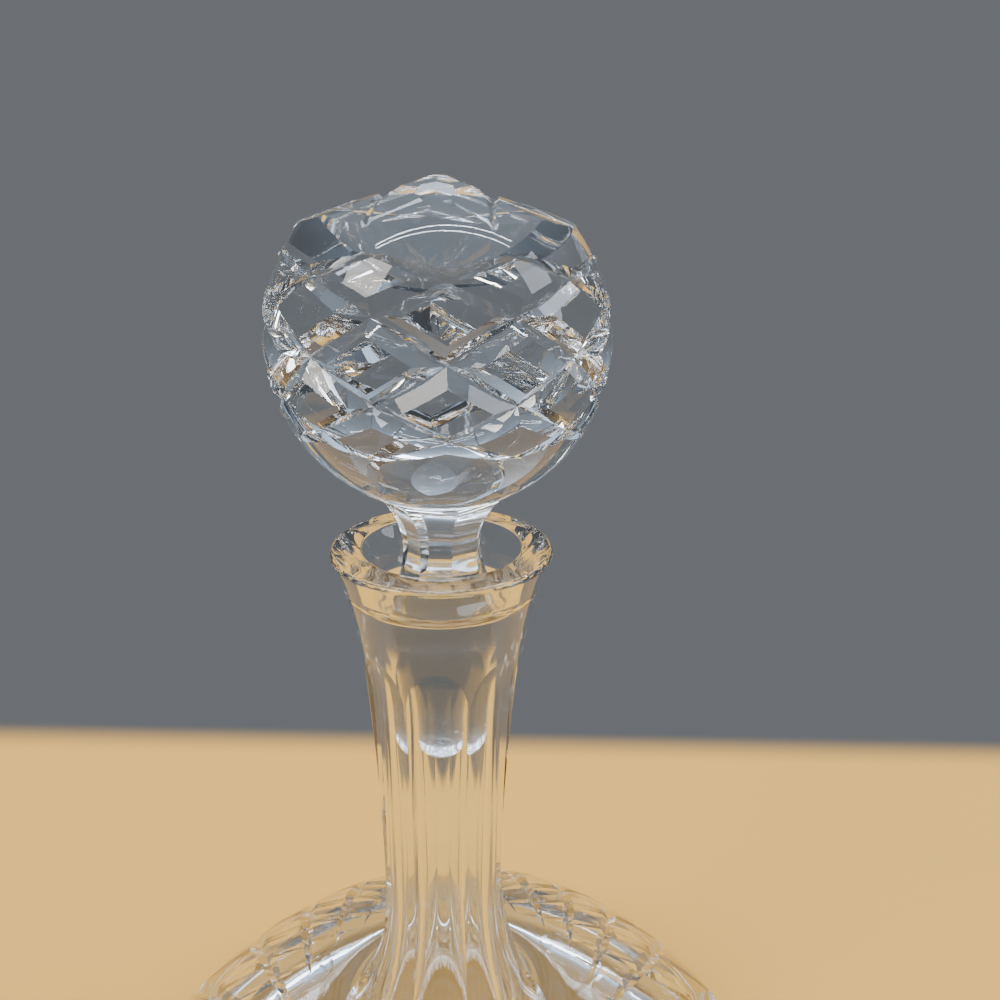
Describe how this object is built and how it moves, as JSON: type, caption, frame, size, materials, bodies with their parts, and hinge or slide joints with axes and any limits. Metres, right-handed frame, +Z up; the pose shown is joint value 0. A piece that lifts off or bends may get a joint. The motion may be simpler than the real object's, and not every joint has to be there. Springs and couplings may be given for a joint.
{
  "type": "ship's decanter",
  "caption": "Wide-based cut-glass decanter with a low domed body, a fluted neck, a flared mouth and a lift-out ball stopper, for holding and pouring wine or spirits.",
  "frame": {"origin": "middle of the base, at the level of the table it stands on", "axes": "+Z up along the axis of the neck and stopper; -Y towards the viewer of the picture"},
  "size_m": [0.2, 0.2, 0.2617],
  "materials": {
    "vessel_glass": "polished clear cut glass",
    "stopper_glass": "polished clear cut glass"
  },
  "bodies": {
    "vessel": {"decanter": "vessel_glass"},
    "stopper": {"stopper": "stopper_glass"}
  },
  "joints": [
    {"name": "stopper_lift", "type": "slide", "parent": "vessel", "child": "stopper", "axis": [0, 0, 1], "range_m": [0, 0.06]}
  ]
}
